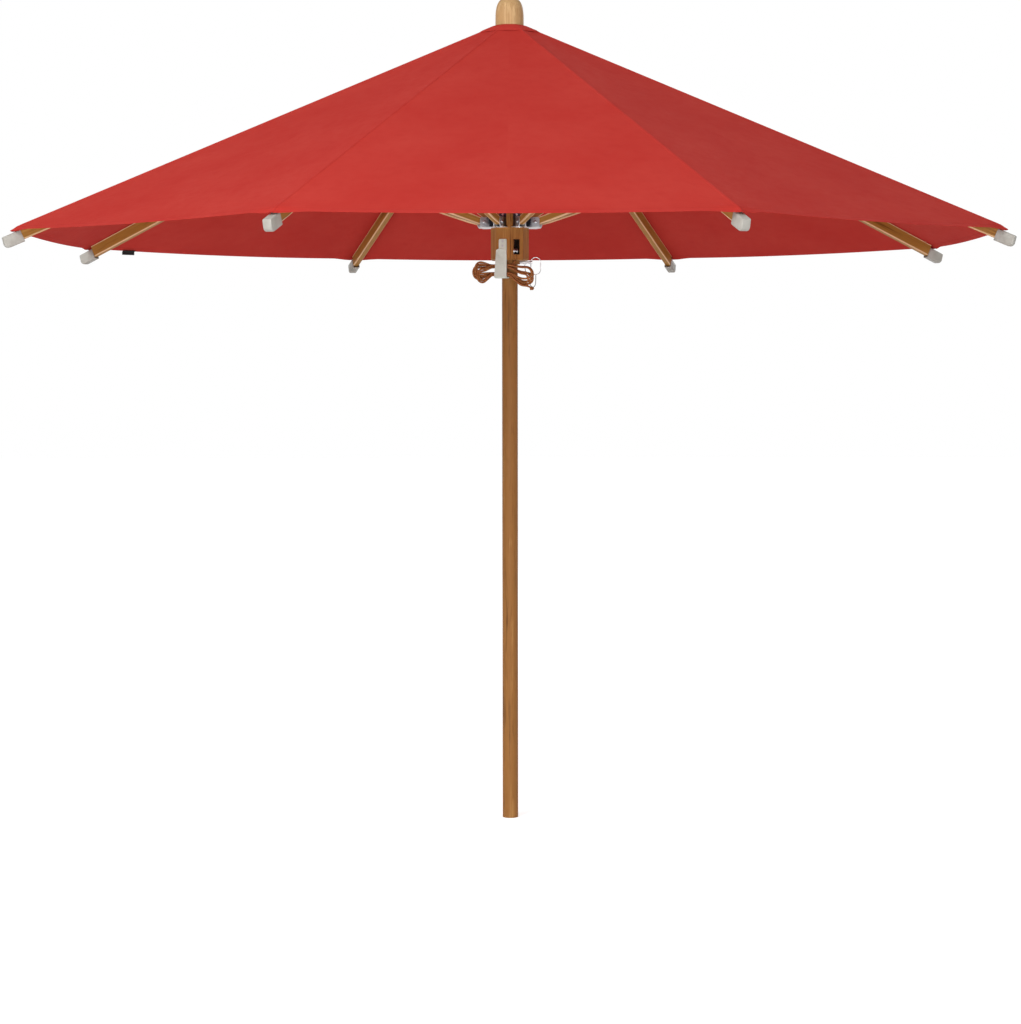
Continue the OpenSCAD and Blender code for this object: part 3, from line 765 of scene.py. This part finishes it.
def canvasFinish(name, look=clothLook):
    f = Finish(name, roughness=0.86, specular=0.05)
    uv = f.uv()
    x, y, _ = f.parts(uv)
    weave = (x * (look["threads"] * math.pi)).sine() * (y * (look["threads"] * math.pi)).sine()
    slub = f.noise(f.mapped(uv, scale=(1, 60, 1)), 14, 2)
    slubAcross = f.noise(f.mapped(uv, scale=(60, 1, 1)), 14, 2)
    broad = f.noise(uv, 2.2, 3, 0.55)
    mottle = f.noise(uv, 26, 3, 0.6)
    colour = f.tint(f.range(broad, 0.38, 0.68), look["outer"], look["faded"])
    colour = f.tint(f.range(slub + slubAcross, 1.02, 1.35) * 0.35, colour, look["deep"])
    colour = f.tint(f.range(mottle, 0.5, 0.8) * 0.18, colour, look["deep"])
    colour = f.tint(f.range(weave, -1, 1) * 0.12, colour, look["deep"])
    # two rows of stitches along each rib's seam, and one along the hem
    pitch = 2 * math.pi / look["stitch"]
    seamStitches = near(abs(x), look["seamRow"], 0.0006) * ((y * pitch).sine() > -0.3)
    hemStitches = near(y, look["hemRow"], 0.0007) * ((x * pitch).sine() > -0.3)
    stitches = seamStitches + hemStitches
    colour = f.tint(stitches * 0.8, colour, look["thread"])
    f.set(Base_Color=colour, Roughness=f.range(mottle, 0.3, 0.7, 0.80, 0.92))
    f.bump(weave * 0.35 + slub * 0.6 + slubAcross * 0.6 + broad * 2.5 - stitches * 1.2,
           0.35, 0.0008)
    return f.material


ropeLook = {"light": srgb(184, 122, 74), "dark": srgb(106, 57, 30), "yarns": 7.0}
cordLook = {"light": srgb(150, 146, 138), "dark": srgb(92, 90, 86), "yarns": 5.0}


def ropeFinish(name, look):
    f = Finish(name, roughness=0.85, specular=0.08)
    uv = f.uv()
    x, y, _ = f.parts(uv)
    yarn = ((x * 3 + y * 2.2) * (2 * math.pi * look["yarns"])).sine()
    fuzz = f.noise(f.mapped(uv, scale=(18, 6, 1)), 9, 4, 0.65)
    spot = f.noise(f.place(), 60, 3, 0.6)
    shade = yarn * 0.12 + fuzz * 0.6 + spot * 0.4
    f.set(Base_Color=f.ramp(shade, [(0.30, look["dark"]), (0.62, look["light"])]))
    f.bump(yarn * 0.4 + fuzz * 0.8, 0.5, 0.0004)
    return f.material


def webbingFinish(name):
    f = Finish(name, roughness=0.8, specular=0.2)
    spot = f.place()
    ribs = (f.parts(spot)[2] * 5200.0).sine()
    fuzz = f.noise(spot, 300, 3, 0.6)
    f.set(Base_Color=f.tint(f.range(ribs * 0.3 + fuzz, 0.3, 0.8), srgb(22, 21, 22),
                            srgb(48, 46, 46)))
    f.bump(ribs * 0.5 + fuzz * 0.5, 0.4, 0.0003)
    return f.material


def dress(piece, material):
    for place in piece.material_slots:
        place.material = material
    if not piece.material_slots:
        piece.data.materials.append(material)


ropeFibre = ropeFinish("ropeFibre", ropeLook)
for piece in (freeRope, farKnot, hoistRope, hoistKnot):
    dress(piece, ropeFibre)
dress(pinLanyard, ropeFinish("cordFibre", cordLook))

zincSteel = steelFinish("zincSteel")
crownSteel = bracketFinish("crownBracketSteel", 0.0, 0.090)
palePlastic = plasticFinish("palePlastic", srgb(170, 167, 160), srgb(148, 143, 134))
finialWood = woodFinish("finialWood", paleLook, along="Z", seed=1.7)
canvas = canvasFinish("canvas")
ownFinish = {
    "pole": woodFinish("poleWood", poleLook, along="Z"),
    "finial": finialWood,
    "crown_block": woodFinish("blockWood", along="Z", seed=3.3),
    "crown_brackets": crownSteel,
    "runner_block": woodFinish("runnerWood", along="Z", seed=3.3, window=pulleyWindow),
    "runner_brackets": bracketFinish("runnerBracketSteel", 2.0727, 0.086),
    "rope_hook": plasticFinish("hookPlastic", srgb(211, 220, 210), srgb(184, 190, 178)),
}
for i in armNumbers:
    ownFinish["rib_%d" % i] = woodFinish(
        "ribWood%d" % i, ribLook, (0, slope, armAngle(i)), pivotPoint(i, "crownPivot"),
        seed=i * 2.1, section=(0.013, 0.022))
    ownFinish["strut_%d" % i] = woodFinish(
        "strutWood%d" % i, ribLook, (0, -rise, armAngle(i)), pivotPoint(i, "runnerPivot"),
        seed=i * 1.3 + 20, section=(0.010, 0.014))
    ownFinish["rib_cap_%d" % i] = palePlastic
    ownFinish["rib_bracket_%d" % i] = crownSteel
for node in nodes:
    dress(nodes[node], ownFinish.get(node, zincSteel))
print("finishes laid on")


def editPick(piece, kind, chosen):
    # in edit mode, select only the faces or the edges that fit
    mesh = bmesh.from_edit_mesh(piece.data)
    for face in mesh.faces:
        face.select_set(False)
    for edge in mesh.edges:
        edge.select_set(False)
    for element in getattr(mesh, kind):
        element.select_set(chosen(element))
    mesh.select_flush_mode()
    bmesh.update_edit_mesh(piece.data)


finial = {
    "radius": 49.0,
    "height": 100.0,
    "foot": 2765.5,
    "chamfer": 2.0,
    "sides": 72,
    "rings": 26,
    "chamferTop": 0.02,     # shares of the height
    "lastRing": 0.995,
    "crowding": 1.8,        # how the rings close up towards the top
    "fullness": 4,
    "roundness": 2.4,
}


def turnedFinial(f):
    r, z = f["radius"] - f["chamfer"], 0.0
    pickNone()
    bpy.ops.mesh.primitive_circle_add(vertices=f["sides"], radius=r / 1000, fill_type="NGON",
                                      location=(0, 0, f["foot"] / 1000))
    piece = bpy.context.object
    piece.name = "finialTop"
    settle(piece)
    steps = [(f["chamferTop"], f["radius"])]
    for n in range(1, f["rings"] + 1):
        share = f["chamferTop"] + (f["lastRing"] - f["chamferTop"]) * (
            1 - (1 - n / f["rings"]) ** f["crowding"])
        steps.append((share, f["radius"] * (1 - share ** f["fullness"]) ** (1 / f["roundness"])))
    bpy.ops.object.mode_set(mode="EDIT")
    bpy.ops.mesh.select_all(action="SELECT")
    for share, wide in steps:
        up = share * f["height"] - z
        z += up
        bpy.ops.mesh.extrude_region_move(TRANSFORM_OT_translate={"value": (0, 0, up / 1000)})
        bpy.ops.transform.resize(value=(wide / r, wide / r, 1),
                                 center_override=(0, 0, (f["foot"] + z) / 1000))
        r = wide
    bpy.ops.mesh.select_all(action="SELECT")
    bpy.ops.mesh.normals_make_consistent(inside=False)
    bpy.ops.object.mode_set(mode="OBJECT")
    bpy.ops.object.shade_smooth_by_angle(angle=math.radians(35))
    dress(piece, finialWood)
    return piece


finialTop = turnedFinial(finial)
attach(finialTop, "mast")
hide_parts("finial")

cap = {
    "inner": 1756.2,        # along the rib from its crown pivot
    "outer": 1820.5,
    "top": 10.5,
    "low": -29.0,
    "width": 28.0,
    "toe": 15.0,
    "lean": 4.0,
    "edge": 3.6,
    "wall": 2.2,
    "depth": 50.0,
    "near": 0.1,            # how far off a place a picked edge or face may be
}


def mouldedCap(c):
    # one cap in the rib's own frame, with its mouth towards the crown
    inner, outer, top, low, slack = (
        c[key] / 1000 for key in ("inner", "outer", "top", "low", "near"))
    pickNone()
    bpy.ops.mesh.primitive_cube_add(size=1, location=((inner + outer) / 2, 0, (top + low) / 2))
    piece = bpy.context.object
    piece.name = "ribCapForm"
    piece.scale = (outer - inner, c["width"] / 1000, top - low)
    settle(piece)
    bpy.ops.object.mode_set(mode="EDIT")
    bpy.ops.mesh.select_mode(type="EDGE")
    # the toe: a round along the low outer edge
    editPick(piece, "edges", lambda e: all(
        v.co.x > outer - slack and v.co.z < low + slack for v in e.verts))
    bpy.ops.mesh.bevel(offset=c["toe"] / 1000, segments=4, profile=0.5, affect="EDGES")
    # lean the tip's top back, square to the ground
    editPick(piece, "edges", lambda e: all(
        v.co.x > outer - slack and v.co.z > top - slack for v in e.verts))
    bpy.ops.transform.translate(value=(-c["lean"] / 1000, 0, 0))
    # round every outer edge but those of the mouth
    editPick(piece, "edges", lambda e: (
        sum(v.co.x for v in e.verts) / 2 > inner + slack
        and len(e.link_faces) == 2 and e.calc_face_angle(0) > 0.6))
    bpy.ops.mesh.bevel(offset=c["edge"] / 1000, segments=3, profile=0.5, affect="EDGES")
    # hollow it from the mouth
    bpy.ops.mesh.select_mode(type="FACE")
    editPick(piece, "faces", lambda g: (
        g.normal.x < -0.9 and g.calc_center_median().x < inner + slack))
    bpy.ops.mesh.inset(thickness=c["wall"] / 1000, depth=0)
    bpy.ops.mesh.extrude_region_move(
        TRANSFORM_OT_translate={"value": (c["depth"] / 1000, 0, 0)})
    bpy.ops.object.mode_set(mode="OBJECT")
    bpy.ops.object.shade_smooth_by_angle(angle=math.radians(40))
    dress(piece, palePlastic)
    return piece


capForm = mouldedCap(cap)
for i in armNumbers:
    ribCap = copyTo(capForm, "ribCap%d" % i, (
        Matrix.Translation(pivotPoint(i, "crownPivot"))
        @ Matrix.Rotation(armAngle(i), 4, "Z") @ Matrix.Rotation(slope, 4, "Y")))
    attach(ribCap, "rib_%d" % i)
    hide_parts("rib_cap_%d" % i)
bpy.data.objects.remove(capForm, do_unlink=True)
print("finial and caps made")

canopy = {
    "apex": 2787.0,         # where the slopes would meet on the axis
    "inner": 88.0,          # from the axis to the cloth's edges along each rib
    "edge": 1730.0,
    "thick": 0.9,
    "lift": 0.1,
    "sag": 9.0,             # between two ribs, at its most
    "sagPower": 0.8,        # how the sag grows from the crown to the hem
    "sagPhase": 0.62,
    "seam": 7.0,            # half the felled seam over each rib
    "band": 17.0,           # half the strip that stays on the rib as it folds
    "wingStart": 4.0,       # width of the next strip
    "wingSteps": 18,
    "wingCrowding": 1.15,   # how the strips close up towards the rib
    "hem": 27.0,
    "hemRows": (1, 0.97, 0.75, 0.5, 0.25, 0.04, 0),
    "slopeRows": 44,
    "lastRow": 6.0,
    "droop": 6.0,           # how far each corner comes down onto its cap
    "droopFrom": 34.0,      # where that starts, in from the corner
    "droopWide": 80.0,
    "crease": 28.0,         # degrees
    "foldTo": 0.042,        # share of its width that a panel keeps when folded
    "foldAt": (800, 0, 2300),
}


def ridge(r):
    return canopy["apex"] - r * math.tan(slope)


def sagAcross(a):
    # a runs from 0 on the rib to 1 midway to the next one
    return canopy["sag"] * (1 - (1 - a) ** 2)


def sagAt(a, r):
    c = canopy
    down = math.sin(math.pi * min(1, (r / c["edge"]) ** c["sagPower"] * c["sagPhase"]))
    return sagAcross(a) * down


def foldWith(piece, i):
    # gives the piece a mesh of its own
    a = armAngle(i)
    tuple(armPoint(i, *canopy["foldAt"]))
    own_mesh(piece)


strap = {
    "arm": 7,
    "towards": 6,
    "wide": 56.0,
    "tall": 22.0,
    "tucked": 10.0,         # the part that is sewn up under the hem
    "tuckIn": 0.92,         # how far that part runs inward and up, for each mm of it
    "tuckUp": 0.40,
    "hemSag": 0.93,         # the share of the canopy's sag that reaches the hem
    "fromCorner": 187.0,
    "inward": 3.5,
    "below": 1.6,
    "curl": 1.2,
    "curlOver": 8.0,
    "columns": 12,
    "rows": 8,
    "thick": 1.6,
    "round": 0.4,
}


def tieStrap(t):
    a = armPoint(t["arm"], canopy["edge"], 0, 0) * 1000
    b = armPoint(t["towards"], canopy["edge"], 0, 0) * 1000
    along = (b - a).normalized()
    inward = Vector((along.y, -along.x, 0))
    if inward.dot(a) > 0:
        inward = -inward
    share = t["fromCorner"] / (b - a).length * 2
    hemZ = ridge(canopy["edge"]) - sagAcross(share) * t["hemSag"] - canopy["thick"] - t["below"]
    verts = []
    for k in range(t["rows"] + 1):
        down = t["tall"] * k / t["rows"] - t["tucked"]
        for j in range(t["columns"] + 1):
            u = j / t["columns"]
            if down < 0:
                inn, z = t["inward"] - down * t["tuckIn"], hemZ - down * t["tuckUp"]
            else:
                inn = t["inward"] - t["curl"] * math.sin(math.pi * u) * smoothStep(
                    down / t["curlOver"])
                z = hemZ - down
            p = a + along * (t["fromCorner"] + (u - 0.5) * t["wide"]) + inward * inn
            verts.append(Vector((p.x, p.y, z)) / 1000)
    piece = newObject("tieStrap", verts, gridFaces(t["rows"] + 1, t["columns"] + 1))
    wall = piece.modifiers.new("webbing", "SOLIDIFY")
    wall.thickness = t["thick"] / 1000
    wall.offset = 0
    soft = piece.modifiers.new("edges", "BEVEL")
    soft.width = t["round"] / 1000
    soft.segments = 2
    applyAll(piece)
    dress(piece, webbingFinish("strapWebbing"))
    return piece


tab = tieStrap(strap)
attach(tab, "rib_7")
foldWith(tab, strap["arm"])
print("strap sewn")


def sewn(name, verts, faces, uvs, thick):
    # a sheet with its cloth's layout, its thickness and its finish
    sheet = newObject(name, verts, faces)
    layer = sheet.data.uv_layers.new(name="UVMap")
    for poly in sheet.data.polygons:
        for loop, v in zip(poly.loop_indices, poly.vertices):
            layer.data[loop].uv = uvs[v]
    wall = sheet.modifiers.new("cloth", "SOLIDIFY")
    wall.thickness = thick / 1000
    wall.offset = -1
    applyAll(sheet)
    bpy.ops.object.shade_smooth_by_angle(angle=math.radians(canopy["crease"]))
    dress(sheet, canvas)
    return sheet


def panelColumns(part, half):
    # shares of the way from the rib to the panel's middle, on both sides of the rib
    c = canopy
    if part == "Seam":
        right = [s / half for s in (0.0, 2.5, 5.0, c["seam"] - 0.6, c["seam"] + 0.4, 11.0,
                                    c["band"])]
        return [-t for t in reversed(right[1:])] + right
    start = (c["band"] + c["wingStart"]) / half
    right = [c["band"] / half, start]
    right += [start + (1 - start) * (n / c["wingSteps"]) ** c["wingCrowding"]
              for n in range(1, c["wingSteps"] + 1)]
    return [-t for t in reversed(right)] + right


def canopyPart(part, i):
    # "Seam" is the strip over rib i, "Gore" the cloth on both sides of it
    c = canopy
    woodEnd = c["edge"] - c["droopFrom"]
    lastRow = woodEnd - c["lastRow"]
    rows = [c["inner"] + (lastRow - c["inner"]) * n / c["slopeRows"]
            for n in range(c["slopeRows"] + 1)]
    rows += [woodEnd] + [c["edge"] - c["hem"] * n for n in c["hemRows"]]
    verts, uvs = [], []
    for r in rows:
        half = r * math.sin(halfPanel)
        columns = panelColumns(part, half)
        fold = c["thick"] if r > c["edge"] - c["hem"] + 0.5 else 0.0
        for t in columns:
            a = abs(t)
            along = r * (1 - a * math.sin(halfPanel) ** 2)
            across = t * half * math.cos(halfPanel)
            felled = c["thick"] if a * half < c["seam"] - 0.3 else 0.0
            droop = c["droop"] * smoothStep((r - woodEnd) / c["droopFrom"]) * smoothStep(
                1.25 - abs(across) / c["droopWide"])
            z = ridge(r) + c["lift"] - sagAt(a, r) + felled + fold - droop
            verts.append(armPoint(i, along, across, z))
            uvs.append((t * half / 1000, r / math.cos(slope) / 1000))
    cols = len(columns)
    faces = gridFaces(len(rows), cols, flipped=True)
    if part == "Gore":
        middle = cols // 2 - 1      # the seam's strip lies here
        faces = [face for face in faces if face[0] % cols != middle]
    return sewn("canopy%s%d" % (part, i), verts, faces, uvs, c["thick"])


crownRing = {
    "radii": (12, 30, 46, 52, 62, 70, 80, 90, 98, 102, 106, 110, 113),
    "level": 50.0,          # inside this the ring lies level
    "lift": 1.2,
    "shoulder": 2.0,        # how far the ring stands up over the rib ends
    "shoulderFrom": 46.0,
    "shoulderOver": 18.0,
    "rimOver": 14.0,
    "columns": 64,
    "thick": 0.9,
}


def crownPatch(c):
    verts, uvs = [], []
    rim = c["radii"][-1]
    for r in c["radii"]:
        for j in range(c["columns"]):
            turn = 2 * math.pi * j / c["columns"]
            offRib = (turn + halfPanel) % (2 * halfPanel) - halfPanel
            reach = r * math.cos(halfPanel) / math.cos(halfPanel - abs(offRib))
            z = (ridge(max(r, c["level"])) + c["lift"] + c["shoulder"]
                 * smoothStep((r - c["shoulderFrom"]) / c["shoulderOver"])
                 * smoothStep((rim - r) / c["rimOver"]))
            a = turn + armAngle(1)
            p = Vector((reach * math.cos(a), reach * math.sin(a), z)) / 1000
            verts.append(p)
            uvs.append((p.x + 0.5, p.y + 0.5))      # clear of the seams
    faces = gridFaces(len(c["radii"]), c["columns"], closed=True, flipped=True)
    return sewn("crownPatch", verts, faces, uvs, c["thick"])


for i in armNumbers:
    gore, seam = canopyPart("Gore", i), canopyPart("Seam", i)
    for piece in (gore, seam):
        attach(piece, "rib_%d" % i)
        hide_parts("canopy")
    foldWith(gore, i)
patch = crownPatch(crownRing)
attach(patch, "mast")
print("canopy sewn")

# floor, sky and lamps; places in metres
studio = {
    "floorSize": 60.0,
    "floorDrop": 0.0005,
    "floorTone": 0.80,
    "floorGlow": 0.65,      # seen directly or in a mirror, lights nothing
    "skyTone": (1, 0.99, 0.97),
    "skyLevel": 0.40,
    "lamps": {
        "keyLamp": {"place": (-4.2, -6.5, 6.2), "power": 400, "size": 3.6, "aim": (0, 0, 2.0)},
        "fillLamp": {"place": (5.5, -5.5, 2.6), "power": 70, "size": 4.0, "aim": (0, 0, 1.6)},
        "lowLamp": {"place": (-1.2, -7.6, 0.9), "power": 230, "size": 2.6, "aim": (0, 0, 1.7)},
        "backLamp": {"place": (2.6, 8.4, 4.3), "power": 130, "size": 4.2, "aim": (0, 0, 1.9)},
    },
}


def lampAt(name, spec):
    data = bpy.data.lights.new(name, "AREA")
    data.energy = spec["power"]
    data.size = spec["size"]
    lamp = bpy.data.objects.new(name, data)
    bpy.context.collection.objects.link(lamp)
    lamp.location = spec["place"]
    towards = Vector(spec["aim"]) - Vector(spec["place"])
    lamp.rotation_euler = towards.to_track_quat("-Z", "Y").to_euler()


def paleFloor(s):
    pickNone()
    bpy.ops.mesh.primitive_plane_add(size=s["floorSize"], location=(0, 0, -s["floorDrop"]))
    made = bpy.context.object
    made.name = "floor"
    f = Finish("floorPaint", roughness=0.8, specular=0.2)
    tone = s["floorTone"]
    speck = f.noise(f.place(), 40, 2)
    f.set(Base_Color=f.ramp(speck, [(0.2, (tone,) * 3), (0.8, (tone * 1.02,) * 3)]),
          Emission_Color=f.directRays() * s["floorGlow"], Emission_Strength=1.0)
    dress(made, f.material)
    return made


def whiteSky(s):
    world = bpy.data.worlds.new("studio")
    world.use_nodes = True
    world.node_tree.nodes.clear()
    sky = NodeSet(world.node_tree)
    light = sky.node("ShaderNodeBackground", {}, {"Color": s["skyTone"],
                                                  "Strength": s["skyLevel"]})
    white = sky.node("ShaderNodeBackground", {}, {"Color": (1, 1, 1), "Strength": 1.0})
    mix = sky.node("ShaderNodeMixShader", {}, {0: sky.directRays(), 1: light, 2: white})
    sky.node("ShaderNodeOutputWorld", {}, {0: mix})
    return world


for name, spec in studio["lamps"].items():
    lampAt(name, spec)
paleFloor(studio)
scene.world = whiteSky(studio)
print("studio lit")
